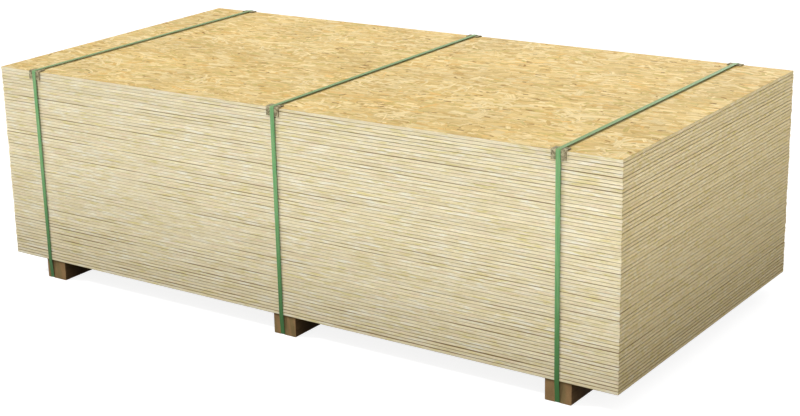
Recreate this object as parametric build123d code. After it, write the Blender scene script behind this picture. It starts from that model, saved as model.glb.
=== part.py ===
from build123d import *
import math
import os
import random

# A strapped pack of square-edged oriented strand boards on three timber bearers.
# Millimetres. X runs along the boards, Y across them and Z up.
# The origin is on the floor, in the middle of the pack.

# The boards
BOARD_LENGTH = 2500.0
BOARD_WIDTH = 1250.0
BOARD_THICKNESS = 10.8
BOARD_PITCH = 11.0
BOARD_COUNT = 65
BOARDS_IN_GROUP = 7
STAGGER_LENGTHWISE = 1.5
STAGGER_CROSSWISE = 0.9
STAGGER_SEED = 11

# The timber bearers under the boards, named with the middle of each along X
BEARER_MIDDLES = {"left": -1053.0, "middle": 18.0, "right": 1050.0}
BEARER_WIDTH = 90.0
BEARER_HEIGHT = 72.0
BEARER_INSET = 5.0
BEARER_ARRIS = 1.5

# The plastic straps round boards and bearers, named as the bearers are
STRAP_MIDDLES = {"left": -1076.0, "middle": 9.0, "right": 1048.0}
STRAP_WIDTH = 16.0
STRAP_THICKNESS = 0.9
STRAP_CLEARANCE = 0.1
STRAP_BED_PLAY = 1.0
CRUSHED_ARRIS_RADIUS = 3.0
WELD_LENGTH = 38.0
WELD_HEIGHT = 260.0

# The folded board angles under the straps, along the top edges
PROTECTOR_LENGTH = 50.0
PROTECTOR_LEG = 32.0
PROTECTOR_THICKNESS = 4.0
PROTECTOR_FOLD_RADIUS = 5.0

STACK_TOP = BEARER_HEIGHT + (BOARD_COUNT - 1) * BOARD_PITCH + BOARD_THICKNESS
BEARER_LENGTH = BOARD_WIDTH - 2 * BEARER_INSET
BED_DEPTH = STRAP_THICKNESS + STRAP_CLEARANCE
LONGER_THAN_PACK = 2 * BOARD_WIDTH


def board_offsets():
    """How far each board lies from its place in the pile, bottom board first, as (x, y)."""
    dice = random.Random(STAGGER_SEED)
    along = [dice.uniform(-STAGGER_LENGTHWISE, STAGGER_LENGTHWISE) for _ in range(BOARD_COUNT)]
    across = [dice.uniform(-STAGGER_CROSSWISE, STAGGER_CROSSWISE) for _ in range(BOARD_COUNT)]
    # The pack is centred between its furthest board ends, and between its two rows of protectors.
    under_protector = across[-math.ceil(PROTECTOR_LEG / BOARD_PITCH):]
    middle_x = (max(along) + min(along)) / 2
    middle_y = (max(under_protector) + min(under_protector)) / 2
    return [(x - middle_x, y - middle_y) for x, y in zip(along, across)]


OFFSETS = board_offsets()


def board_bottom(index):
    return BEARER_HEIGHT + index * BOARD_PITCH


def board(index):
    """One board of the pile, counted from 0 at the bottom."""
    x, y = OFFSETS[index]
    seat = (Align.CENTER, Align.CENTER, Align.MIN)
    return Pos(x, y, board_bottom(index)) * Box(BOARD_LENGTH, BOARD_WIDTH, BOARD_THICKNESS, align=seat)


def reach(side, low=0.0):
    """How far the boards above the height low stand out on one side, -1 for the front, 1 for the back."""
    tops = [board_bottom(i) + BOARD_THICKNESS for i in range(BOARD_COUNT)]
    return max(BOARD_WIDTH / 2 + side * OFFSETS[i][1] for i, top in enumerate(tops) if top > low)


def protector_face(side):
    """Distance from the middle of the pack to the outer face of a protector's hanging leg."""
    leg_foot = STACK_TOP + PROTECTOR_THICKNESS - PROTECTOR_LEG
    return reach(side, leg_foot) + PROTECTOR_THICKNESS


def protector(middle_x, side):
    """An angle folded from thick board, hooked over a top edge of the pile."""
    outer = side * protector_face(side)
    inner = side * (protector_face(side) - PROTECTOR_THICKNESS)
    tip = side * (protector_face(side) - PROTECTOR_LEG)
    high = STACK_TOP + PROTECTOR_THICKNESS
    foot = high - PROTECTOR_LEG
    outline = [(outer, foot), (outer, high), (tip, high), (tip, STACK_TOP), (inner, STACK_TOP), (inner, foot)]
    profile = make_face(Polyline(*outline, close=True))
    fold = profile.vertices().sort_by_distance((outer, high, 0))[0]
    profile = fillet(fold, PROTECTOR_FOLD_RADIUS)
    start = Plane((middle_x - PROTECTOR_LENGTH / 2, 0, 0), x_dir=(0, 1, 0), z_dir=(1, 0, 0))
    return extrude(start * profile, PROTECTOR_LENGTH)


def turn(a, b, c):
    """Positive where the path a, b, c turns left."""
    return (b[0] - a[0]) * (c[1] - b[1]) - (b[1] - a[1]) * (c[0] - b[0])


def taut_line(points):
    """The convex line that a tight band takes round these points."""
    line = []
    for run in (sorted(points), sorted(points, reverse=True)):
        half = []
        for point in run:
            while len(half) > 1 and turn(half[-2], half[-1], point) <= 0:
                half.pop()
            half.append(point)
        line += half[:-1]
    return line


def bound_section():
    """The section that the straps are pulled round, across the pack as (y, z)."""
    corners = []
    for side in (-1, 1):
        high = STACK_TOP + PROTECTOR_THICKNESS
        face = side * protector_face(side)
        corners += [(face, high), (face, high - PROTECTOR_LEG)]
        corners.append((side * BEARER_LENGTH / 2, BED_DEPTH))
        for i in range(BOARD_COUNT):
            edge = side * BOARD_WIDTH / 2 + OFFSETS[i][1]
            corners += [(edge, board_bottom(i)), (edge, board_bottom(i) + BOARD_THICKNESS)]
    section = make_face(Polyline(*taut_line(corners), close=True))
    by_height = section.vertices().sort_by(Axis.Y)
    section = fillet(by_height[-2:], PROTECTOR_FOLD_RADIUS)
    by_height = section.vertices().sort_by(Axis.Y)
    return fillet(by_height[:2], CRUSHED_ARRIS_RADIUS)


def grown(section, amount):
    return offset(section, amount, kind=Kind.INTERSECTION)


def across_pack(profile, middle_x, width):
    """A profile drawn as (y, z), extruded to a width about a place along the pack."""
    start = Plane((middle_x - width / 2, 0, 0), x_dir=(0, 1, 0), z_dir=(1, 0, 0))
    return extrude(start * profile, width)


SECTION = bound_section()


def strap(middle_x):
    """A closed loop of flat strap, with its free end welded over it low on the back."""
    inside = grown(SECTION, STRAP_CLEARANCE)
    loop = grown(SECTION, STRAP_CLEARANCE + STRAP_THICKNESS) - inside
    overlap = grown(SECTION, STRAP_CLEARANCE + 2 * STRAP_THICKNESS) - inside
    window = Pos(BOARD_WIDTH / 2, WELD_HEIGHT) * Rectangle(BOARD_WIDTH / 4, WELD_LENGTH)
    return across_pack(loop + (overlap & window), middle_x, STRAP_WIDTH)


def bearer(middle_x, strap_x):
    """Sawn timber under the boards, with the bed that its strap is pulled into."""
    seat = (Align.CENTER, Align.CENTER, Align.MIN)
    timber = Pos(middle_x, 0, 0) * Box(BEARER_WIDTH, BEARER_LENGTH, BEARER_HEIGHT, align=seat)
    timber = chamfer(timber.edges().filter_by(Axis.Y), BEARER_ARRIS)
    slot_width = STRAP_WIDTH + STRAP_BED_PLAY
    slot = Pos(strap_x, 0, 0) * Box(slot_width, LONGER_THAN_PACK, 2 * BEARER_HEIGHT)
    return timber - (slot - across_pack(SECTION, strap_x, slot_width))


def save(name, *solids):
    export_step(Compound(label=name, children=list(solids)), f"parts/{name}.step")


os.makedirs("parts", exist_ok=True)

save("panel_bottom", board(0))
for first in range(1, BOARD_COUNT - 1, BOARDS_IN_GROUP):
    group = range(first, min(first + BOARDS_IN_GROUP, BOARD_COUNT - 1))
    save(f"panels_{group[0] + 1:02d}_to_{group[-1] + 1:02d}", *[board(i) for i in group])
save("panel_top", board(BOARD_COUNT - 1))

for place, x in BEARER_MIDDLES.items():
    save(f"bearer_{place}", bearer(x, STRAP_MIDDLES[place]))

for place, x in STRAP_MIDDLES.items():
    save(f"strap_{place}", strap(x))
    save(f"corner_protector_front_{place}", protector(x, -1))
    save(f"corner_protector_back_{place}", protector(x, 1))
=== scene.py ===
import math
import random
from functools import cache, partial

import bmesh
import bpy
import numpy as np
from mathutils import Matrix, Vector, noise
from mathutils.geometry import delaunay_2d_cdt


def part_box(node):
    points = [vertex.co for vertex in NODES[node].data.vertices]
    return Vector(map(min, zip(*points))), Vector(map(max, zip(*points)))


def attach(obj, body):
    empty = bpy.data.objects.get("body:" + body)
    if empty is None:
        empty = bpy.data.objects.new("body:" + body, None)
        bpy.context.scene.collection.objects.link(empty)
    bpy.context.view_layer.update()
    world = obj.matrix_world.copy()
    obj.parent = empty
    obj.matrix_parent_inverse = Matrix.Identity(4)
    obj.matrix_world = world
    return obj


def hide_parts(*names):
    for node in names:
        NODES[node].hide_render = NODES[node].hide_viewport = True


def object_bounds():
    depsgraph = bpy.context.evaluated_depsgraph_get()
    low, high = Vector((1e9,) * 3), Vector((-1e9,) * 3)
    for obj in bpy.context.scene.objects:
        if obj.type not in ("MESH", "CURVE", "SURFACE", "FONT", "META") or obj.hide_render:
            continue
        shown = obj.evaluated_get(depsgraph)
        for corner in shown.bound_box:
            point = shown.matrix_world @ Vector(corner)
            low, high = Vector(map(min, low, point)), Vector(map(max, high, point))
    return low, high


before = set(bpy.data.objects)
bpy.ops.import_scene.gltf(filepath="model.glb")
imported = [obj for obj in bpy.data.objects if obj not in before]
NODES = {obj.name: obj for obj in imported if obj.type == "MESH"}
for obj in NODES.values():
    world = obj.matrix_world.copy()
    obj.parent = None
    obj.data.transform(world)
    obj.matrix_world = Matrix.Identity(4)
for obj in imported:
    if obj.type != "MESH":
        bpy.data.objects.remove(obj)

bl_info = {
    "name": "Strapped board pack",
    "version": (1, 0, 0),
    "blender": (4, 5, 0),
    "location": "3D View > Sidebar > Board pack",
    "description": "Finishes a strapped pack of oriented strand boards on timber bearers",
    "category": "Object",
}

MM = 0.001
PLACES = ("left", "middle", "right")
CAD_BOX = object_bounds()
BOARD_NODES = sorted(name for name in NODES if name.startswith("panels_"))
PROTECTOR_NODES = [f"corner_protector_{side}_{place}" for side in ("front", "back") for place in PLACES]

# The boards lie one pitch apart, which the sawn edges' pattern counts them by. A board's middle
# and its half thickness are in shares of the pitch.
BOARD_COUNT = 65
PILE_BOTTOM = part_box("panel_bottom")[0].z
BOARD_PITCH = (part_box("panel_top")[0].z - PILE_BOTTOM) / (BOARD_COUNT - 1)
BOARD_MIDDLE = 0.49
BOARD_HALF = 0.48
BEARER_SPACING = (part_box("bearer_right")[0].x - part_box("bearer_left")[0].x) / 2

# A protector's worn patches, the steps of its fold, and its cuts along X, Y and Z
FRAY_SIZE = 9 * MM
FOLD_STEPS = 5
PROTECTOR_CUTS = (14, 5, 5)

# The stage: pixels, millimetres of sensor, then metres and degrees
PHOTO_WIDTH = 800
SENSOR_WIDTH = 36.0
FLOOR_SIZE, FARTHEST_SIGHT = 80, 200
SUN_WIDTH, SOFTBOX_HEIGHT, SOFTBOX_SPREAD = 4, 0.3, 70


def linear(code):
    """An sRGB hex colour as the linear RGBA that shaders take."""
    values = [int(code[i:i + 2], 16) / 255 for i in (1, 3, 5)]
    return tuple(v / 12.92 if v <= 0.04045 else ((v + 0.055) / 1.055) ** 2.4 for v in values) + (1.0,)


def number(name, description, default, **limits):
    return bpy.props.FloatProperty(name=name, description=description, default=default, **limits)


def size(name, description, default):
    return number(name, description, default, min=0.0, unit="LENGTH", precision=5)


def share(name, description, default):
    return number(name, description, default, min=0.0, max=1.0, subtype="FACTOR")


def colour(name, description, code):
    return bpy.props.FloatVectorProperty(
        name=name, description=description, default=linear(code),
        size=4, min=0.0, max=1.0, subtype="COLOR")


def angle(name, description, degrees):
    return number(name, description, math.radians(degrees), subtype="ANGLE")


# Settings

class PackSettings(bpy.types.PropertyGroup):
    """Sizes and colours of the pack's finish."""

    arris: size("Arris", "How far a board's sawn arrises are broken", 0.8 * MM)
    edge_run: size("Edge run", "Length of one run of a board's rough edge", 24 * MM)
    edge_wear: size("Edge wear", "Most that a board's edge is worn back", 1.0 * MM)
    edge_wear_size: size("Wear size", "Size of a worn patch", 40 * MM)
    end_bruise: share("End bruise", "How far a board's proud end is knocked back", 0.6)
    edge_pale: colour("Edge, pale", "Sawn edge where its strands run along the saw cut", "#fdf2cf")
    edge_deep: colour("Edge, deep", "Darker stretches of a sawn edge", "#eee0b6")
    edge_olive: colour("Edge, olive", "Sapwood and bark side in a sawn edge", "#e6d891")
    edge_white: colour("Edge, white", "Freshly opened strands in a sawn edge", "#fffceb")
    edge_pink: colour("Edge, pink", "Heartwood in a sawn edge", "#f3dbbc")
    end_tint: colour("End tint", "What end grain does to an edge's colour", "#e9e2d1")
    joint_colour: colour("Joint", "Dust and shade between two boards", "#84673a")
    strand_count: bpy.props.IntProperty(
        name="Strands", description="Strands thrown over a face", default=15000, min=500, max=20000)
    strand_length: size("Strand length", "Usual length of a strand", 58 * MM)
    strand_width: size("Strand width", "Usual width of a strand", 10 * MM)
    curled_share: share("Curled share", "Share of strands pressed while bent", 0.015)
    bark_share: share("Bark share", "Share of bark slivers among the strands", 0.048)
    nest_count: bpy.props.IntProperty(
        name="Nests", description="Spots on a face where strands fell in a tangle", default=26, min=0)
    strand_drift: share("Drift", "How much the strands' tone drifts over a quarter of a metre", 0.12)
    sight_cell: size("Sight cell", "Grid on which hidden strands are found", 2.5 * MM)
    strand_relief: size("Strand relief", "Most that a strand lies below the face", 0.25 * MM)
    strand_pale: colour("Strand, pale", "Sapwood strand", "#edd59c")
    strand_middle: colour("Strand, middle", "Usual strand", "#e0c27e")
    strand_deep: colour("Strand, deep", "Heartwood strand", "#ceaa60")
    strand_olive: colour("Strand, olive", "Strand from near the bark", "#c8b162")
    strand_orange: colour("Strand, orange", "Resinous strand", "#e0b565")
    strand_brown: colour("Strand, brown", "Bark sliver", "#98702b")
    strap_fresh: colour("Strap", "Strapping", "#619b5e")
    strap_scuffed: colour("Strap, scuffed", "Strapping where it has rubbed", "#86ae79")
    # Painted shade: the strap is painted deeper green low on the pack.
    strap_low_painted_shade: colour("Strap, low", "Strapping low on the pack, where it looks deeper", "#34682f")
    # Painted light: the strap is painted paler and yellower where it lies on top.
    strap_top_painted_light: colour("Strap, on top", "Strapping on the top board, where it looks yellower", "#78904a")
    # Painted shade: the strap's sideways slit edges are painted near-black green.
    strap_edge_painted_shade: colour("Strap, edge", "Slit edge of the strapping", "#1f3a17")
    fold_radius: size("Fold radius", "Outer radius of a protector's fold", 5 * MM)
    protector_wear: size("Protector wear", "Most that a protector's surface is worn back", 0.5 * MM)
    protector_leaf: size("Protector leaf", "Size of a flake in the pressed board", 2.2 * MM)
    protector_dark: colour("Protector, dark", "Pressed board", "#776d52")
    protector_pale: colour("Protector, pale", "Pressed board", "#bdb491")
    protector_fleck: colour("Protector, fleck", "Flecks in the pressed board", "#51472f")
    bearer_brown: colour("Bearer, brown", "Weathered early wood", "#a08058")
    bearer_green: colour("Bearer, green", "Early wood greened by damp", "#8f7a52")
    bearer_late: colour("Bearer, late wood", "Dark side of a growth ring", "#6a5136")
    # Painted shade: the colour of the bearers' long sides, which lie in the shade under the pile.
    bearer_side_painted_shade: colour("Bearer, damp", "Long sides, dark as damp timber is", "#2c1f12")


class StageSettings(bpy.types.PropertyGroup):
    """Camera and light."""

    azimuth: angle("Azimuth", "Camera's turn from the front towards the right end", 37.69)
    elevation: angle("Elevation", "Camera's height angle", 17.48)
    roll: angle("Roll", "Camera's tilt to the left", -2.2)
    distance: number("Distance", "Camera to the middle of the pack", 6.014, unit="LENGTH")
    aside: number("Aside", "Camera's step to the right", -0.295, unit="LENGTH")
    above: number("Above", "Camera's step up", -0.116, unit="LENGTH")
    focal_pixels: number("Focal length", "In pixels of the 800 wide picture", 1684.0)
    middle_pixel: number("Optical middle", "Its column in the 800 wide picture", 300.0)
    sky_level: number("Sky", "Strength of the light from above all round", 0.79)
    sun_level: number("Key light", "Strength of the far lamp at the upper left", 2.0)
    front_watts: number("Front softbox", "Power of the long softbox before the front", 9.6)
    end_watts: number("End softbox", "Power of the long softbox before the right end", 6.5)
    back_watts: number("Back softbox", "Power of the long softbox behind the pack", 6.0)
    floor_white: number("Floor white", "How white the paper floor shows in full shadow", 0.86)


# Materials

# A Mix of colours has them on sockets 6 and 7 and gives them out at 2. One of numbers has 2 and 3.
COLOURS = {"output": 2, "data_type": "RGBA"}


def add_node(tree, kind, inputs=None, output=0, **settings):
    """Adds a shader node with its settings. Each input given a socket is linked, and others are set."""
    node = tree.nodes.new("ShaderNode" + kind)
    for name, value in settings.items():
        setattr(node, name, value)
    for name, value in (inputs or {}).items():
        if isinstance(value, bpy.types.NodeSocket):
            tree.links.new(value, node.inputs[name])
        else:
            node.inputs[name].default_value = value
    return node.outputs[output] if node.outputs else node


def node_adder(owner):
    """Empties the node tree of a material or world, and returns the function that adds to it."""
    owner.use_nodes = True
    owner.node_tree.nodes.clear()
    return partial(add_node, owner.node_tree)


def new_material(name):
    material = bpy.data.materials.new(name)
    return material, node_adder(material)


def per_size(*sizes):
    """The scale at which a noise has features of these sizes, in metres."""
    return tuple(1 / s for s in sizes)


@cache
def sawn_edge_material(settings):
    """Sawn edge of oriented strand board: pale, since the saw has opened each strand afresh.

    The boards' strands show as fine lines where they run along the cut and as short dashes where
    they are cut across, and every board has a tone of its own.
    """
    material, add = new_material("osb_sawn_edge")
    place = add("TexCoord", output="Object")
    x, y, z = add("SeparateXYZ", {0: place}).node.outputs
    boards = add("MapRange", {
        "Value": z, "From Min": PILE_BOTTOM, "From Max": PILE_BOTTOM + BOARD_PITCH}, clamp=False)
    index = add("Math", {0: boards}, operation="FLOOR")
    phase = add("Math", {0: boards}, operation="FRACT")
    joint = add("Math", {0: boards}, operation="ROUND")
    facing = add("SeparateXYZ", {0: add("NewGeometry", output="Normal")})
    to_end = add("Math", {0: facing}, operation="ABSOLUTE")
    is_end = add("MapRange", {"Value": to_end, "From Min": 0.5, "From Max": 0.8})

    # Jumps between boards, in metres, and between joints, in patches, give each its own pattern.
    board_jump, joint_jump = 0.29, 5.3
    own_z = add("Math", {0: index, 1: board_jump, 2: z}, operation="MULTIPLY_ADD")
    own = add("CombineXYZ", {0: x, 1: y, 2: own_z})
    stretches = add("Mapping", {"Vector": own, "Scale": per_size(0.16, 0.12, 0.05)})
    tone = add("TexNoise", {"Vector": stretches, "Scale": 1.0, "Detail": 3.0})
    spots = add("Mapping", {"Vector": own, "Scale": per_size(0.055, 0.022, 0.009)})
    spot = add("TexNoise", {"Vector": spots, "Scale": 1.0, "Detail": 2.0}, output="Color")
    spot = add("SeparateColor", {0: spot}).node.outputs

    # Strands are 0.8 mm thick. In the outer layers they lie along X, and in the middle across it.
    outer = add("Mapping", {"Vector": own, "Scale": per_size(0.045, 0.011, 0.0008)})
    outer = add("TexNoise", {"Vector": outer, "Scale": 1.0, "Detail": 2.0, "Roughness": 0.6})
    inner = add("Mapping", {"Vector": own, "Scale": per_size(0.010, 0.045, 0.0009)})
    inner = add("TexNoise", {"Vector": inner, "Scale": 1.0, "Detail": 2.0, "Roughness": 0.6})
    offset = add("Math", {0: phase, 1: BOARD_MIDDLE}, operation="SUBTRACT")
    from_middle = add("Math", {0: offset}, operation="ABSOLUTE")
    is_outer = add("MapRange", {"Value": from_middle, "From Min": 0.2, "From Max": 0.27})
    strands = add("Mix", {"Factor": is_outer, 2: inner, 3: outer})

    tone_share = add("MapRange", {"Value": tone, "From Min": 0.32, "From Max": 0.68})
    base = add("Mix", {"Factor": tone_share, 6: settings.edge_pale, 7: settings.edge_deep}, **COLOURS)
    for channel, tint, most in ((0, settings.edge_olive, 0.75), (1, settings.edge_white, 0.7),
                                (2, settings.edge_pink, 0.45)):
        here = add("MapRange", {
            "Value": spot[channel], "From Min": 0.52, "From Max": 0.7, "To Max": most})
        base = add("Mix", {"Factor": here, 6: base, 7: tint}, **COLOURS)
    base = add("Mix", {"Factor": is_end, 6: base, 7: settings.end_tint},
               **COLOURS, blend_type="MULTIPLY")
    dice = add("TexWhiteNoise", {"W": index}, noise_dimensions="1D")
    board_shade = add("MapRange", {"Value": dice, "To Min": 0.95, "To Max": 1.03})
    strand_shade = add("MapRange", {
        "Value": strands, "From Min": 0.3, "From Max": 0.7, "To Min": 0.82, "To Max": 1.07})
    # Strands cut across are darker: the middle layer on the long edges, the outer ones on the ends.
    cut_across = add("Math", {0: 1.0, 1: is_end}, operation="SUBTRACT")
    cut_across = add("Math", {0: cut_across, 1: is_outer}, operation="SUBTRACT")
    cut_across = add("Math", {0: cut_across}, operation="ABSOLUTE")
    cut_shade = add("MapRange", {"Value": cut_across, "To Min": 1.02, "To Max": 0.94})
    for shade in (board_shade, strand_shade, cut_shade):
        base = add("VectorMath", {0: base, "Scale": shade}, operation="SCALE")

    # Dust and shade sit in the joints. They reach further and are darker over some stretches of half
    # a metre and at the foot of the pile, and on the ends they reach furthest but are faint and even.
    along_joint = add("CombineXYZ", {0: x, 1: y, 2: joint})
    along_joint = add("Mapping", {"Vector": along_joint, "Scale": (*per_size(0.42, 0.42), joint_jump)})
    dusty = add("TexNoise", {"Vector": along_joint, "Scale": 1.0, "Detail": 2.0})
    dusty = add("MapRange", {"Value": dusty, "From Min": 0.54, "From Max": 0.64})
    low = add("MapRange", {"Value": z, "From Min": 0.28, "From Max": PILE_BOTTOM})
    start, end_darkness, low_darkness = 0.36, 0.22, 0.4
    for here, reach in ((dusty, 0.06), (is_end, 0.1), (low, 0.06)):
        start = add("Math", {0: here, 1: -reach, 2: start}, operation="MULTIPLY_ADD")
    in_joint = add("MapRange", {"Value": from_middle, "From Min": start, "From Max": BOARD_HALF})
    darkness = add("MapRange", {"Value": dusty, "To Min": 0.6})
    darkness = add("Mix", {"Factor": is_end, 2: darkness, 3: end_darkness})
    darkness = add("Math", {0: low, 1: low_darkness, 2: darkness}, operation="MULTIPLY_ADD")
    in_joint = add("Math", {0: in_joint, 1: darkness}, operation="MULTIPLY")
    base = add("Mix", {"Factor": in_joint, 6: base, 7: settings.joint_colour}, **COLOURS)

    # The saw leaves the ends of cut strands furry, a quarter of a millimetre deep.
    fur = add("Bump", {"Height": strands, "Distance": 0.25 * MM, "Strength": 0.6})
    shader = add("BsdfPrincipled", {
        "Base Color": base, "Roughness": 0.82, "Specular IOR Level": 0.15, "Normal": fur})
    add("OutputMaterial", {"Surface": shader})
    return material


@cache
def strand_face_material():
    """Pressed face of oriented strand board: knife-cut strands under a thin film of cured resin.

    Each strand has its own colour, kept on the mesh, and fibres that run along it. The resin gives
    the face a faint sheen.
    """
    material, add = new_material("osb_strand_face")
    strand = add("UVMap", uv_map="strand_grain")
    rim = add("SeparateXYZ", {0: add("UVMap", uv_map="strand_rim")}).node.outputs
    base = add("Attribute", attribute_name="strand_colour", output="Color")
    # Fibres are 1.2 mm apart and growth rings 5 mm.
    fibres = add("Mapping", {"Vector": strand, "Scale": (*per_size(0.04, 0.0012), 1.0)})
    fibres = add("TexNoise", {"Vector": fibres, "Scale": 1.0, "Detail": 3.0, "Roughness": 0.65})
    rings = add("Mapping", {"Vector": strand, "Scale": (*per_size(0.06, 0.005), 1.0)})
    rings = add("TexNoise", {"Vector": rings, "Scale": 1.0, "Detail": 2.0})
    fibre_shade = add("MapRange", {
        "Value": fibres, "From Min": 0.25, "From Max": 0.75, "To Min": 0.86, "To Max": 1.12})
    ring_shade = add("MapRange", {
        "Value": rings, "From Min": 0.3, "From Max": 0.7, "To Min": 0.86, "To Max": 1.1})
    # Each strand is darker at its rim: partly a resin line, partly painted shade of the gaps and steps
    # between strands.
    along = add("Math", {0: rim[0]}, operation="ABSOLUTE")
    across = add("Math", {0: rim[1]}, operation="ABSOLUTE")
    to_rim = add("Math", {0: along, 1: across}, operation="MAXIMUM")
    rim_resin_and_painted_shade = add("MapRange", {"Value": to_rim, "From Min": 0.88, "To Min": 1.0, "To Max": 0.86})
    for shade in (fibre_shade, ring_shade, rim_resin_and_painted_shade):
        base = add("VectorMath", {0: base, "Scale": shade}, operation="SCALE")
    relief = add("Bump", {"Height": fibres, "Distance": 0.15 * MM, "Strength": 0.5})
    shader = add("BsdfPrincipled", {
        "Base Color": base, "Roughness": 0.6, "Specular IOR Level": 0.2, "Normal": relief})
    add("OutputMaterial", {"Surface": shader})
    return material


def strap_material(settings):
    """Extruded polyester strapping: embossed with small diamonds, which break its gloss up."""
    material, add = new_material("pet_strapping")
    place = add("TexCoord", output="Object")
    x, y, z = add("SeparateXYZ", {0: place}).node.outputs
    # The diamonds are 2.2 mm wide. Height counts with depth, so that they run round with the strap.
    run = add("Math", {0: y, 1: z}, operation="ADD")
    waves = []
    for lean in ("ADD", "SUBTRACT"):
        slant = add("Math", {0: x, 1: run}, operation=lean)
        turns = add("Math", {0: slant, 1: 2 * math.pi / (2.2 * MM)}, operation="MULTIPLY")
        waves.append(add("Math", {0: turns}, operation="SINE"))
    diamonds = add("Math", dict(enumerate(waves)), operation="MULTIPLY")
    long_streaks = add("Mapping", {"Vector": place, "Scale": per_size(0.004, 0.06, 0.06)})
    scuffs = add("TexNoise", {"Vector": long_streaks, "Scale": 1.0, "Detail": 4.0, "Roughness": 0.6})
    scuffed = add("MapRange", {"Value": scuffs, "From Min": 0.42, "From Max": 0.72})
    # Painted shade: the strap is painted deeper green towards the floor.
    low = add("MapRange", {"Value": z, "From Min": 0.46, "From Max": 0.05})
    facing = add("SeparateXYZ", {0: add("NewGeometry", output="Normal")}).node.outputs
    # Painted light: faces that look up are painted paler and yellower.
    lit = add("MapRange", {"Value": facing[2], "From Min": 0.4, "From Max": 0.9, "To Max": 0.6})
    # Painted shade: the slit edges, which face sideways, are painted near-black green.
    slit_painted_shade = add("Math", {0: facing[0]}, operation="ABSOLUTE")
    slit_painted_shade = add("MapRange", {"Value": slit_painted_shade, "From Min": 0.5, "From Max": 0.8})
    base = settings.strap_fresh
    for here, tint in ((scuffed, settings.strap_scuffed), (low, settings.strap_low_painted_shade),
                       (lit, settings.strap_top_painted_light), (slit_painted_shade, settings.strap_edge_painted_shade)):
        base = add("Mix", {"Factor": here, 6: base, 7: tint}, **COLOURS)
    roughness = add("MapRange", {
        "Value": scuffs, "From Min": 0.3, "From Max": 0.7, "To Min": 0.36, "To Max": 0.5})
    emboss = add("Bump", {"Height": diamonds, "Distance": 0.12 * MM, "Strength": 0.6})
    shader = add("BsdfPrincipled", {
        "Base Color": base, "Roughness": roughness, "Specular IOR Level": 0.3, "Normal": emboss})
    add("OutputMaterial", {"Surface": shader})
    return material


@cache
def protector_material(settings):
    """Solid board pressed from waste paper and wood dust: grey-brown, flecked and quite matt."""
    material, add = new_material("pressed_waste_board")
    place = add("TexCoord", output="Object")
    mottle = add("TexNoise", {
        "Vector": place, "Scale": 1 / (5 * settings.protector_leaf), "Detail": 3.0, "Roughness": 0.65})
    flakes = add("TexVoronoi", {"Vector": place, "Scale": 1 / settings.protector_leaf}, output="Color")
    flake_dice = add("SeparateColor", {0: flakes})
    pale = add("MapRange", {"Value": mottle, "From Min": 0.38, "From Max": 0.62})
    base = add("Mix", {"Factor": pale, 6: settings.protector_dark, 7: settings.protector_pale},
               **COLOURS)
    flecked = add("MapRange", {"Value": flake_dice, "From Min": 0.7, "From Max": 0.95, "To Max": 0.65})
    base = add("Mix", {"Factor": flecked, 6: base, 7: settings.protector_fleck}, **COLOURS)
    fur = add("Bump", {"Height": mottle, "Distance": 0.5 * MM, "Strength": 0.7})
    shader = add("BsdfPrincipled", {
        "Base Color": base, "Roughness": 0.92, "Specular IOR Level": 0.2, "Normal": fur})
    add("OutputMaterial", {"Surface": shader})
    return material


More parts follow.
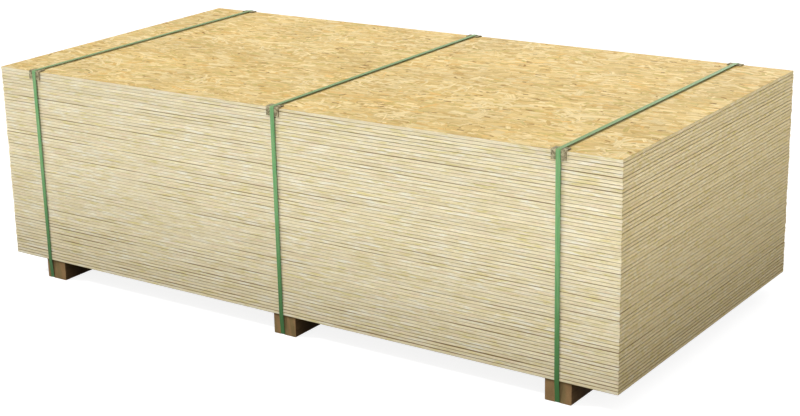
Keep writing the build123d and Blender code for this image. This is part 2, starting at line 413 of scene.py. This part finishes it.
def bearer_material(settings):
    """Rough sawn softwood, weathered: growth rings about a heart that lies off to one side.

    The rings show as arcs on the sawn ends and as long grain on the sides, and damp has greened
    some of them.
    """
    material, add = new_material("rough_sawn_softwood")
    place = add("TexCoord", output="Object")
    x, y, z = add("SeparateXYZ", {0: place}).node.outputs
    # Each bearer is cut from its own log.
    spacings = add("Math", {0: x, 1: BEARER_SPACING}, operation="DIVIDE")
    bearer = add("Math", {0: spacings}, operation="ROUND")
    dice = add("TexWhiteNoise", {"W": bearer}, output="Color", noise_dimensions="1D")
    dice = add("SeparateColor", {0: dice}).node.outputs
    wander = add("Mapping", {"Vector": place, "Scale": per_size(0.09, 0.7, 0.09)})
    wander = add("TexNoise", {"Vector": wander, "Scale": 1.0, "Detail": 2.0}, output="Color")
    wander = add("VectorMath", {0: wander, "Scale": 14 * MM}, operation="SCALE")
    moved = add("VectorMath", {0: place, 1: wander}, operation="ADD")
    moved_x, _, moved_z = add("SeparateXYZ", {0: moved}).node.outputs
    middle = add("Math", {0: bearer, 1: BEARER_SPACING}, operation="MULTIPLY")
    aside = add("Math", {0: moved_x, 1: middle}, operation="SUBTRACT")
    heart = add("MapRange", {"Value": dice[0], "To Min": 80 * MM, "To Max": 170 * MM})
    aside = add("Math", {0: aside, 1: heart}, operation="ADD")
    heart_height = add("MapRange", {"Value": dice[1], "To Min": 10 * MM, "To Max": 60 * MM})
    above = add("Math", {0: moved_z, 1: heart_height}, operation="SUBTRACT")
    from_heart = add("CombineXYZ", {0: aside, 1: above})
    radius = add("VectorMath", {0: from_heart}, output="Value", operation="LENGTH")
    # Growth rings are 4 mm apart, and each ends in dark late wood.
    rings = add("Math", {0: radius, 1: 4 * MM}, operation="DIVIDE")
    ring = add("Math", {0: rings}, operation="FRACT")
    late = add("MapRange", {"Value": ring, "From Min": 0.5, "From Max": 0.95, "To Max": 0.36})
    # Damp has greened bands some 25 mm wide.
    damp = add("TexNoise", {"W": radius, "Scale": 1 / (25 * MM), "Detail": 1.0}, noise_dimensions="1D")
    green = add("MapRange", {"Value": damp, "From Min": 0.42, "From Max": 0.58})
    base = add("Mix", {"Factor": green, 6: settings.bearer_brown, 7: settings.bearer_green}, **COLOURS)
    base = add("Mix", {"Factor": late, 6: base, 7: settings.bearer_late}, **COLOURS)
    grain = add("Mapping", {"Vector": place, "Scale": per_size(0.0018, 0.09, 0.0018)})
    grain = add("TexNoise", {"Vector": grain, "Scale": 1.0, "Detail": 3.0, "Roughness": 0.6})
    dirt = add("TexNoise", {"Vector": place, "Scale": 1 / (35 * MM), "Detail": 3.0})
    grain_shade = add("MapRange", {
        "Value": grain, "From Min": 0.25, "From Max": 0.75, "To Min": 0.82, "To Max": 1.12})
    dirt_shade = add("MapRange", {
        "Value": dirt, "From Min": 0.3, "From Max": 0.7, "To Min": 0.85, "To Max": 1.1})
    # Painted shadow: the last centimetre under the boards is darker, where the boards shade it.
    painted_shadow_under_boards = add("MapRange", {
        "Value": z, "From Min": 60 * MM, "From Max": PILE_BOTTOM, "To Min": 1.0, "To Max": 0.5})
    for shade in (grain_shade, dirt_shade, painted_shadow_under_boards):
        base = add("VectorMath", {0: base, "Scale": shade}, operation="SCALE")
    # Painted shade: the long sides, in the shade under the pile, are painted dark, and less so near the
    # bearer's ends.
    facing = add("SeparateXYZ", {0: add("NewGeometry", output="Normal")})
    side = add("Math", {0: facing}, operation="ABSOLUTE")
    side = add("MapRange", {"Value": side, "From Min": 0.8, "From Max": 0.95})
    inwards = add("Math", {0: y}, operation="ABSOLUTE")
    side_painted_shade = add("MapRange", {
        "Value": inwards, "From Min": 0.62, "From Max": 0.54, "To Min": 0.55, "To Max": 0.95})
    side_painted_shade = add("Math", {0: side, 1: side_painted_shade}, operation="MULTIPLY")
    base = add("Mix", {"Factor": side_painted_shade, 6: base, 7: settings.bearer_side_painted_shade}, **COLOURS)
    # The frame saw scores the sides across the grain every 3 mm.
    score = add("Mapping", {"Vector": place, "Scale": per_size(0.4, 0.003, 0.4)})
    score = add("TexNoise", {"Vector": score, "Scale": 1.0, "Detail": 1.0})
    relief = add("Math", {0: grain, 1: score}, operation="ADD")
    relief = add("Bump", {"Height": relief, "Distance": 0.5 * MM, "Strength": 0.6})
    shader = add("BsdfPrincipled", {
        "Base Color": base, "Roughness": 0.88, "Specular IOR Level": 0.12, "Normal": relief})
    add("OutputMaterial", {"Surface": shader})
    return material


# Modelling

def clear_selection():
    bpy.ops.object.select_all(action="DESELECT")


def make_active(piece):
    clear_selection()
    piece.select_set(True)
    bpy.context.view_layer.objects.active = piece


def select_edges(piece, wanted):
    """In edit mode, selects just the edges whose two ends pass the test."""
    bpy.ops.mesh.select_mode(type="EDGE")
    bpy.ops.mesh.select_all(action="DESELECT")
    bpy.ops.object.mode_set(mode="OBJECT")
    points = [vertex.co.copy() for vertex in piece.data.vertices]
    for edge in piece.data.edges:
        edge.select = bool(wanted(points[edge.vertices[0]], points[edge.vertices[1]]))
    bpy.ops.object.mode_set(mode="EDIT")


def settle(piece, name, node, slot, *materials):
    """Names a finished piece, gives it its materials, and lets it stand for its node."""
    piece.name = name
    piece.data.name = name
    for material in materials:
        piece.data.materials.append(material)
    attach(piece, "root")
    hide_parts(node)


def board_boxes(node):
    """The lowest and highest corner of each board in a node, bottom board first."""
    rounding = 0.01
    points = np.array([vertex.co for vertex in NODES[node].data.vertices])
    index = np.floor((points[:, 2] - PILE_BOTTOM) / BOARD_PITCH + rounding).astype(int)
    return [(points[index == i].min(0), points[index == i].max(0)) for i in sorted(set(index))]


def plain_board(settings):
    """One board with broken arrises, cut into short runs all round so that its edges can be rough."""
    low, high = board_boxes("panel_bottom")[0]
    length, width, thick = high - low
    clear_selection()
    bpy.ops.mesh.primitive_plane_add(size=1)
    board = bpy.context.object
    bpy.ops.object.mode_set(mode="EDIT")
    bpy.ops.transform.resize(value=(length, width, 1))
    bpy.ops.mesh.delete(type="ONLY_FACE")
    for axis, extent in ((0, length), (1, width)):
        select_edges(board, lambda a, b: abs(a[axis] - b[axis]) > extent / 2)
        bpy.ops.mesh.subdivide(number_cuts=round(extent / settings.edge_run) - 1)
    bpy.ops.mesh.select_all(action="SELECT")
    bpy.ops.mesh.edge_face_add()
    bpy.ops.mesh.extrude_region_move(TRANSFORM_OT_translate={"value": (0, 0, thick)})
    select_edges(board, lambda a, b: abs(a.z - b.z) < thick / 2)
    bpy.ops.mesh.bevel(offset=settings.arris, segments=1)
    bpy.ops.mesh.select_all(action="SELECT")
    bpy.ops.mesh.normals_make_consistent(inside=False)
    bpy.ops.object.mode_set(mode="OBJECT")
    return board


def wear_back(piece, depth, patch, group=""):
    """Wears a piece's surface back by up to a depth, in patches of a size, and never outwards."""
    make_active(piece)
    texture = bpy.data.textures.new("wear", "CLOUDS")
    texture.noise_scale = patch
    texture.noise_depth = 2
    bpy.ops.object.modifier_add(type="DISPLACE")
    wear = piece.modifiers[-1]
    wear.texture = texture
    wear.texture_coords = "GLOBAL"
    wear.mid_level = 1.0
    wear.strength = depth
    wear.vertex_group = group
    bpy.ops.object.modifier_apply(modifier=wear.name)


def make_board_group(node, pattern, settings):
    """The boards of one node, each a copy of the pattern board with edges worn its own way."""
    copies = []
    for low, high in board_boxes(node):
        copy = pattern.copy()
        copy.data = pattern.data.copy()
        bpy.context.collection.objects.link(copy)
        # Each end keeps its place, but for the bruise on the one that stands proud.
        along, across, length = (low[0] + high[0]) / 2, (low[1] + high[1]) / 2, high[0] - low[0]
        copy.scale.x = 1 - settings.end_bruise * abs(along) / length
        copy.location = (along * (1 - settings.end_bruise / 2), across, low[2])
        copies.append(copy)
    clear_selection()
    for copy in copies:
        copy.select_set(True)
    bpy.context.view_layer.objects.active = copies[0]
    bpy.ops.object.join()
    piece = bpy.context.object
    bpy.ops.object.transform_apply(location=True, rotation=True, scale=True)
    wear_back(piece, settings.edge_wear, settings.edge_wear_size)
    settle(piece, node.replace("panels", "boards"), node, "osb", sawn_edge_material(settings))


# The pressed strands on the two faces that show

def straight_strand(dice, length, width):
    """A knife-cut strand: straight sides, and ends broken off at a slant, or one to a point."""
    most_slant, pointed_share, point_aside = 0.2, 0.5, 0.6
    lean = [dice.uniform(0.0, most_slant) * length for _ in range(4)]
    x, y = length / 2, width / 2
    outline = [(lean[0] - x, -y), (x - lean[1], -y), (x - lean[2], y), (lean[3] - x, y)]
    if dice.random() < pointed_share:
        outline.insert(2, (x, dice.uniform(-point_aside, point_aside) * y))
    return outline


def curled_strand(dice, length, width):
    """A strand that was pressed while bent: an arc of even width."""
    least_sweep, most_sweep, steps = 1.0, 2.6, 8
    sweep = dice.uniform(least_sweep, most_sweep)
    radius = length / sweep
    turns = [sweep * (i / (steps - 1) - 0.5) for i in range(steps)]
    inner, outer = [
        [(r * math.sin(turn), r * math.cos(turn) - radius) for turn in turns]
        for r in (radius - width / 2, radius + width / 2)]
    return outer[::-1] + inner


class Strand:
    """One strand on a board's face: where it lies, how it is turned, and its colour."""

    def __init__(self, dice, middle, turn, length, width, colour, curled):
        self.middle, self.turn, self.colour = middle, turn, colour
        self.half = (length / 2, width / 2)
        self.shift = (dice.uniform(0, 9), dice.uniform(0, 9))
        shape = curled_strand if curled else straight_strand
        cosine, sine = math.cos(turn), math.sin(turn)
        self.outline = [(middle[0] + x * cosine - y * sine, middle[1] + x * sine + y * cosine)
                        for x, y in shape(dice, length, width)]

    def own_place(self, x, y):
        """A point on the board as metres along and across the strand."""
        x, y = x - self.middle[0], y - self.middle[1]
        cosine, sine = math.cos(self.turn), math.sin(self.turn)
        return x * cosine + y * sine, y * cosine - x * sine

    def covers(self, x, y):
        """Which of the points x, y the strand covers, by counting its sides to the right of each."""
        held = np.zeros(x.shape, bool)
        for (ax, ay), (bx, by) in zip(self.outline, self.outline[1:] + self.outline[:1]):
            if ay != by:
                held ^= ((ay > y) != (by > y)) & (x < (bx - ax) * (y - ay) / (by - ay) + ax)
        return held


# How strands vary, in radians, metres, and parts of a usual strand
MOSTLY_ALONG, ALONG_SPREAD, ANY_TURN = 0.88, 0.25, 1.6
LENGTH_SPREAD, SHORTEST, LONGEST = 0.38, 0.3, 2.2
WIDTH_SPREAD, WIDEST = 0.5, 2.8
MAIN_TINT, TONE_SPREAD, DRIFT_LENGTH = 0.75, 0.04, 0.25
BARK_LENGTH, BARK_WIDTHS, BARK_TONES = 0.42, (4.5 * MM, 8 * MM), (0.75, 1.3)
WIDEST_CURLED = 9 * MM
NEST_STRANDS, NEST_SPREAD, NEST_TONES, NEST_CURLED = 14, 0.045, (0.95, 1.08), 0.5
UNDERMOST_PART = 6


def throw_strands(dice, settings, length, width):
    """The strands of one face, in the order in which they fell."""
    shares = ((settings.strand_pale, 0.27), (settings.strand_middle, 0.42),
              (settings.strand_deep, 0.17), (settings.strand_olive, 0.08),
              (settings.strand_orange, 0.06))
    tints = [np.array(tint[:3]) for tint, _ in shares]
    weights = [weight for _, weight in shares]
    brown = np.array(settings.strand_brown[:3])
    nests = [(dice.uniform(0, length), dice.uniform(0, width)) for _ in range(settings.nest_count)]
    nested_from = settings.strand_count - NEST_STRANDS * settings.nest_count
    strands = []
    for i in range(settings.strand_count):
        middle = (dice.uniform(0, length), dice.uniform(0, width))
        is_along = dice.random() < MOSTLY_ALONG
        turn = dice.gauss(0, ALONG_SPREAD) if is_along else dice.uniform(-ANY_TURN, ANY_TURN)
        long_side = min(max(dice.gauss(1.0, LENGTH_SPREAD), SHORTEST), LONGEST) * settings.strand_length
        short_side = min(dice.lognormvariate(0, WIDTH_SPREAD), WIDEST) * settings.strand_width
        first, second = dice.choices(tints, weights, k=2)
        place = Vector((middle[0] / DRIFT_LENGTH, middle[1] / DRIFT_LENGTH, nests[0][0]))
        tone = dice.gauss(1.0, TONE_SPREAD) + settings.strand_drift * noise.noise(place)
        colour = (MAIN_TINT * first + (1 - MAIN_TINT) * second) * tone
        curled = dice.random() < settings.curled_share
        if i < settings.strand_count / UNDERMOST_PART:
            # The undermost are drawn twice as large, so that nothing bare shows between the others.
            long_side, short_side, curled = 2 * long_side, 2 * short_side, False
        elif i >= nested_from:
            nest = dice.choice(nests)
            middle = (dice.gauss(nest[0], NEST_SPREAD), dice.gauss(nest[1], NEST_SPREAD))
            turn = dice.uniform(-ANY_TURN, ANY_TURN)
            colour = tints[0] * dice.uniform(*NEST_TONES)
            curled = dice.random() < NEST_CURLED
        elif dice.random() < settings.bark_share:
            colour = brown * dice.uniform(*BARK_TONES)
            long_side *= BARK_LENGTH
            short_side = min(max(short_side, BARK_WIDTHS[0]), BARK_WIDTHS[1])
        if curled:
            short_side = min(short_side, WIDEST_CURLED)
        strands.append(Strand(dice, middle, turn, long_side, short_side, colour, curled))
    return strands


def in_sight(strands, length, width, cell):
    """The strands that later ones leave in view in at least two cells of a grid."""
    across, down = int(length / cell), int(width / cell)
    owner = np.full((down, across), -1)
    for i, strand in enumerate(strands):
        corners = np.array(strand.outline) / cell
        x0, y0 = np.maximum(np.floor(corners.min(0)).astype(int), 0)
        x1, y1 = np.minimum(np.ceil(corners.max(0)).astype(int), (across, down))
        if x0 < x1 and y0 < y1:
            y, x = np.mgrid[y0:y1, x0:x1]
            owner[y0:y1, x0:x1][strand.covers((x + 0.5) * cell, (y + 0.5) * cell)] = i
    seen = np.bincount(owner[owner >= 0], minlength=len(strands))
    return [strands[i] for i in np.nonzero(seen >= 2)[0]]


def cut_to_board(outline, length, width):
    """An outline cut off at the board's edges, as the saw does after pressing."""
    for axis, limit, keep in ((0, 0.0, 1), (0, length, -1), (1, 0.0, 1), (1, width, -1)):
        kept = []
        for before, point in zip(outline[-1:] + outline[:-1], outline):
            from_before, from_point = keep * (before[axis] - limit), keep * (point[axis] - limit)
            if (from_before < 0) != (from_point < 0):
                way = from_before / (from_before - from_point)
                kept.append(tuple(b + way * (p - b) for b, p in zip(before, point)))
            if from_point >= 0:
                kept.append(point)
        outline = kept
        if len(outline) < 3:
            return []
    return outline


def strand_map(shape, strands, length, width):
    """Fills an empty bmesh with a flat map of a face, centred, one region for each strand in view."""
    points = [(0, 0), (length, 0), (length, width), (0, width)]
    outlines, owners = [[0, 1, 2, 3]], [None]
    for strand in strands:
        outline = cut_to_board(strand.outline, length, width)
        if outline:
            outlines.append(list(range(len(points), len(points) + len(outline))))
            owners.append(strand)
            points += outline
    nearest, nearly_flat = 1e-6, math.radians(4)
    corners, _, faces, _, _, covers = delaunay_2d_cdt(
        [Vector(point) for point in points], [], outlines, 1, nearest, True)
    region = shape.faces.layers.int.new("strand_region")
    made = [shape.verts.new((p.x - length / 2, p.y - width / 2, 0)) for p in corners]
    for face, under in zip(faces, covers):
        if under:
            shape.faces.new([made[i] for i in face])[region] = max(under)
    bmesh.ops.delete(shape, geom=[v for v in shape.verts if not v.link_faces], context="VERTS")
    bmesh.ops.recalc_face_normals(shape, faces=shape.faces)
    for edge in shape.edges:
        regions = {face[region] for face in edge.link_faces}
        edge.seam = len(regions) > 1
    bmesh.ops.dissolve_limit(
        shape, angle_limit=nearly_flat, verts=shape.verts, edges=shape.edges, delimit={"SEAM"})
    return owners


def dress_strands(shape, owners, settings, length, width):
    """Gives each region its strand's colour, and coordinates along and across the strand."""
    region = shape.faces.layers.int["strand_region"]
    tint = shape.faces.layers.float_vector.new("strand_colour")
    grain = shape.loops.layers.uv.new("strand_grain")
    rim = shape.loops.layers.uv.new("strand_rim")
    in_shade = 0.85
    bare = np.array(settings.strand_deep[:3]) * in_shade
    for face in shape.faces:
        strand = owners[face[region]]
        face[tint] = bare if strand is None else strand.colour
        for loop in face.loops:
            x, y = loop.vert.co.x + length / 2, loop.vert.co.y + width / 2
            if strand is None:
                loop[grain].uv = (x, y)
                continue
            along, across = strand.own_place(x, y)
            loop[grain].uv = (along + strand.shift[0], across + strand.shift[1])
            loop[rim].uv = (along / strand.half[0], across / strand.half[1])


def close_board(shape, thick, arris, length, width):
    """Goes on from a face's rim down the arris, the sawn edge and the lower arris to a plain back."""
    edge = [e for e in shape.edges if e.is_boundary]
    wider = (1 + 2 * arris / length, 1 + 2 * arris / width)
    narrower = (1 / wider[0], 1 / wider[1])
    rings, sides = [], []
    for scale, drop in ((wider, arris), ((1, 1), thick - 2 * arris), (narrower, arris)):
        made = bmesh.ops.extrude_edge_only(shape, edges=edge)["geom"]
        rings.append([part for part in made if isinstance(part, bmesh.types.BMVert)])
        sides += [part for part in made if isinstance(part, bmesh.types.BMFace)]
        edge = [part for part in made if isinstance(part, bmesh.types.BMEdge) and part.is_boundary]
        for vertex in rings[-1]:
            vertex.co = (vertex.co.x * scale[0], vertex.co.y * scale[1], -drop + vertex.co.z)
    sides += bmesh.ops.contextual_create(shape, geom=edge)["faces"]
    for face in sides:
        face.material_index = 0
    bmesh.ops.recalc_face_normals(shape, faces=shape.faces)
    return rings[0] + rings[1]


def make_faced_board(node, name, settings, seed, face_up):
    """A whole board whose outer face is a map of pressed strands, each with its own grain."""
    low, high = board_boxes(node)[0]
    arris, thick = settings.arris, high[2] - low[2]
    length, width = high[0] - low[0] - 2 * arris, high[1] - low[1] - 2 * arris
    dice = random.Random(seed)
    strands = throw_strands(dice, settings, length, width)
    strands = in_sight(strands, length, width, settings.sight_cell)

    shape = bmesh.new()
    owners = strand_map(shape, strands, length, width)
    dress_strands(shape, owners, settings, length, width)
    for face in shape.faces:
        face.material_index = 1
    # Strands press to slightly different depths.
    for vertex in shape.verts:
        if not vertex.is_boundary:
            vertex.co.z = -dice.uniform(0, settings.strand_relief)
    worn = close_board(shape, thick, arris, length, width)
    shape.verts.index_update()
    worn = [vertex.index for vertex in worn]
    mesh = bpy.data.meshes.new(name)
    shape.to_mesh(mesh)
    shape.free()

    board = bpy.data.objects.new(name, mesh)
    bpy.context.collection.objects.link(board)
    board.vertex_groups.new(name="arris").add(worn, 1.0, "REPLACE")
    middle_x, middle_y = (low[0] + high[0]) / 2, (low[1] + high[1]) / 2
    place = Matrix.Translation((middle_x, middle_y, high[2] if face_up else low[2]))
    if not face_up:
        place = place @ Matrix.Rotation(math.pi, 4, "X")
    mesh.transform(place)
    # The arrises keep their shape only while the wear is less deep than they are.
    wear_back(board, min(settings.edge_wear, 0.75 * arris), settings.edge_wear_size, "arris")
    settle(board, name, node, "osb", sawn_edge_material(settings), strand_face_material())


def make_protector(node, settings):
    """An angle of pressed board, folded over the pile's top edge and frayed at its ends."""
    low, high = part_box(node)
    out = -1 if low.y < 0 else 1
    length, depth, drop = high - low
    thick = high.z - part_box("panel_top")[1].z
    middle = (low + high) / 2
    clear_selection()
    bpy.ops.mesh.primitive_plane_add(size=1, location=(middle.x, middle.y, high.z))
    piece = bpy.context.object
    bpy.ops.object.mode_set(mode="EDIT")
    bpy.ops.transform.resize(value=(length, depth, 1))
    select_edges(piece, lambda *ends: all(out * end.y > 0 for end in ends))
    bpy.ops.mesh.extrude_region_move(TRANSFORM_OT_translate={"value": (0, 0, -drop)})
    select_edges(piece, lambda *ends: all(out * end.y > 0 and end.z > -drop / 2 for end in ends))
    bpy.ops.mesh.bevel(offset=settings.fold_radius, segments=FOLD_STEPS)
    for axis, (extent, cuts) in enumerate(zip((length, depth, drop), PROTECTOR_CUTS)):
        select_edges(piece, lambda a, b: abs(a[axis] - b[axis]) > extent / 2)
        bpy.ops.mesh.subdivide(number_cuts=cuts)
    bpy.ops.mesh.select_all(action="SELECT")
    bpy.ops.mesh.normals_make_consistent(inside=False)
    bpy.ops.object.mode_set(mode="OBJECT")
    # The extruded sheet has no inside, so its top face says which way is out.
    if max(piece.data.polygons, key=lambda face: face.center.z).normal.z < 0:
        piece.data.flip_normals()
    bpy.ops.object.modifier_add(type="SOLIDIFY")
    wall = piece.modifiers[-1]
    wall.thickness = thick
    wall.offset = -1.0
    wall.use_even_offset = True
    bpy.ops.object.modifier_apply(modifier=wall.name)
    bpy.ops.object.transform_apply(location=True, rotation=True, scale=True)
    wear_back(piece, settings.protector_wear, FRAY_SIZE)
    settle(piece, node.replace("corner_protector", "protector"), node, "protector_board",
           protector_material(settings))


# Operators

class PACK_OT_boards(bpy.types.Operator):
    """Replaces the middle boards by boards with rough sawn edges"""

    bl_idname = "pack.boards"
    bl_label = "Boards"

    def execute(self, context):
        settings = context.scene.pack_settings
        pattern = plain_board(settings)
        for node in BOARD_NODES:
            make_board_group(node, pattern, settings)
        bpy.data.objects.remove(pattern)
        return {"FINISHED"}


class PACK_OT_faced_boards(bpy.types.Operator):
    """Replaces the top and bottom boards by boards that show their pressed strands"""

    bl_idname = "pack.faced_boards"
    bl_label = "Top and bottom boards"

    def execute(self, context):
        settings = context.scene.pack_settings
        make_faced_board("panel_top", "board_top", settings, 7, face_up=True)
        make_faced_board("panel_bottom", "board_bottom", settings, 8, face_up=False)
        return {"FINISHED"}


class PACK_OT_protectors(bpy.types.Operator):
    """Replaces the corner protectors by folded pressed board with frayed ends"""

    bl_idname = "pack.protectors"
    bl_label = "Corner protectors"

    def execute(self, context):
        for node in PROTECTOR_NODES:
            make_protector(node, context.scene.pack_settings)
        return {"FINISHED"}


def finish_nodes(kind, material):
    """Gives a material to the CAD nodes of a kind, which keep their shape."""
    for place in PLACES:
        finish = NODES[f"{kind}_{place}"].data.materials
        finish.clear()
        finish.append(material)


class PACK_OT_bearers(bpy.types.Operator):
    """Finishes the bearers as rough sawn timber"""

    bl_idname = "pack.bearers"
    bl_label = "Bearers"

    def execute(self, context):
        finish_nodes("bearer", bearer_material(context.scene.pack_settings))
        return {"FINISHED"}


class PACK_OT_straps(bpy.types.Operator):
    """Finishes the straps as embossed polyester"""

    bl_idname = "pack.straps"
    bl_label = "Straps"

    def execute(self, context):
        finish_nodes("strap", strap_material(context.scene.pack_settings))
        return {"FINISHED"}


def looked_at(add):
    """1 for a ray from the camera, a mirror or clear stuff, and 0 for the others."""
    path = add("LightPath").node.outputs
    mirrored = add("Math", {0: path["Is Glossy Ray"], 1: path["Is Transmission Ray"]}, operation="ADD")
    return add("Math", {0: path["Is Camera Ray"], 1: mirrored}, operation="ADD", use_clamp=True)


def paper_material(settings):
    """White paper sweep: it shows white but for the pack's shadow, and throws little light back."""
    material, add = new_material("white_paper_sweep")
    glow = add("Emission", {"Strength": settings.floor_white})
    lit = add("BsdfDiffuse", {"Color": linear("#9a9a9a")})
    shown = add("AddShader", {0: lit, 1: glow})
    unseen = add("BsdfDiffuse", {"Color": linear("#4b4232")})
    surface = add("MixShader", {0: looked_at(add), 1: unseen, 2: shown})
    add("OutputMaterial", {"Surface": surface})
    return material


def studio_world(settings):
    """Light from above all round, none from the horizon, and white where it is looked at."""
    world = bpy.data.worlds.new("studio")
    add = node_adder(world)
    direction = add("TexCoord", output="Generated")
    height = add("SeparateXYZ", {0: direction}).node.outputs[2]
    level = add("MapRange", {
        "Value": height, "From Min": 0.2, "From Max": 0.6, "To Max": settings.sky_level},
        interpolation_type="SMOOTHSTEP")
    level = add("Mix", {"Factor": looked_at(add), 2: level, 3: 1.0})
    sky = add("Background", {"Color": linear("#ffffff"), "Strength": level})
    add("OutputWorld", {"Surface": sky})
    return world


def lamp(kind, name, place, aim, power):
    bpy.ops.object.light_add(type=kind, location=place)
    made = bpy.context.object
    made.name = name
    made.rotation_euler = (Vector(aim) - Vector(place)).to_track_quat("-Z", "Y").to_euler()
    made.data.energy = power
    made.visible_camera = False
    return made.data


class PACK_OT_stage(bpy.types.Operator):
    """Adds floor, light and camera"""

    bl_idname = "pack.stage"
    bl_label = "Stage"

    def execute(self, context):
        settings = context.scene.stage_settings
        scene = context.scene
        clear_selection()
        bpy.ops.mesh.primitive_plane_add(size=FLOOR_SIZE, location=(0, 0, CAD_BOX[0][2]))
        floor = context.object
        floor.name = "floor"
        floor.data.materials.append(paper_material(settings))
        scene.world = studio_world(settings)

        sun = lamp("SUN", "key_lamp", (-7.0, -3.5, 6.2), (0, 0, 0), settings.sun_level)
        sun.angle = math.radians(SUN_WIDTH)
        for name, place, aim, length, watts in (
                ("front_softbox", (0, -2.2, 0.45), (0, -0.6, 0.65), 5.0, settings.front_watts),
                ("end_softbox", (3.0, -0.05, 0.55), (1.25, 0, 0.8), 3.0, settings.end_watts),
                ("back_softbox", (0, 2.6, 1.2), (0, 0.6, 0.8), 5.0, settings.back_watts)):
            box = lamp("AREA", name, place, aim, watts)
            box.shape = "RECTANGLE"
            box.size, box.size_y = length, SOFTBOX_HEIGHT
            box.spread = math.radians(SOFTBOX_SPREAD)

        low, high = Vector(CAD_BOX[0]), Vector(CAD_BOX[1])
        turn, lift, roll = settings.azimuth, settings.elevation, settings.roll
        level = math.cos(lift)
        back = Vector((math.sin(turn) * level, -math.cos(turn) * level, math.sin(lift)))
        level_right = Vector((0, 0, 1)).cross(back).normalized()
        level_up = back.cross(level_right)
        right = level_right * math.cos(roll) + level_up * math.sin(roll)
        up = level_up * math.cos(roll) - level_right * math.sin(roll)
        place = (low + high) / 2 + right * settings.aside + up * settings.above
        place += back * settings.distance
        bpy.ops.object.camera_add()
        camera = context.object
        facing = Matrix((right, up, back)).transposed().to_4x4()
        camera.matrix_world = Matrix.Translation(place) @ facing
        camera.data.sensor_width = SENSOR_WIDTH
        camera.data.lens = settings.focal_pixels / PHOTO_WIDTH * SENSOR_WIDTH
        camera.data.shift_x = 0.5 - settings.middle_pixel / PHOTO_WIDTH
        camera.data.clip_end = FARTHEST_SIGHT
        scene.camera = camera
        scene.view_settings.view_transform = "Standard"
        return {"FINISHED"}


class PACK_PT_panel(bpy.types.Panel):
    """Board pack tools"""

    bl_idname = "PACK_PT_panel"
    bl_label = "Board pack"
    bl_space_type = "VIEW_3D"
    bl_region_type = "UI"
    bl_category = "Board pack"

    def draw(self, context):
        for operator in OPERATORS:
            self.layout.operator(operator.bl_idname)
        for settings in (context.scene.pack_settings, context.scene.stage_settings):
            for name in settings.__annotations__:
                self.layout.prop(settings, name)


OPERATORS = (PACK_OT_boards, PACK_OT_faced_boards, PACK_OT_protectors, PACK_OT_bearers, PACK_OT_straps,
             PACK_OT_stage)
CLASSES = (PackSettings, StageSettings) + OPERATORS + (PACK_PT_panel,)


def register():
    for cls in CLASSES:
        bpy.utils.register_class(cls)
    bpy.types.Scene.pack_settings = bpy.props.PointerProperty(type=PackSettings)
    bpy.types.Scene.stage_settings = bpy.props.PointerProperty(type=StageSettings)


def unregister():
    del bpy.types.Scene.stage_settings
    del bpy.types.Scene.pack_settings
    for cls in reversed(CLASSES):
        bpy.utils.unregister_class(cls)


def main():
    register()
    bpy.ops.pack.boards()
    bpy.ops.pack.faced_boards()
    bpy.ops.pack.protectors()
    bpy.ops.pack.bearers()
    bpy.ops.pack.straps()
    bpy.ops.pack.stage()


if __name__ == "__main__":
    main()
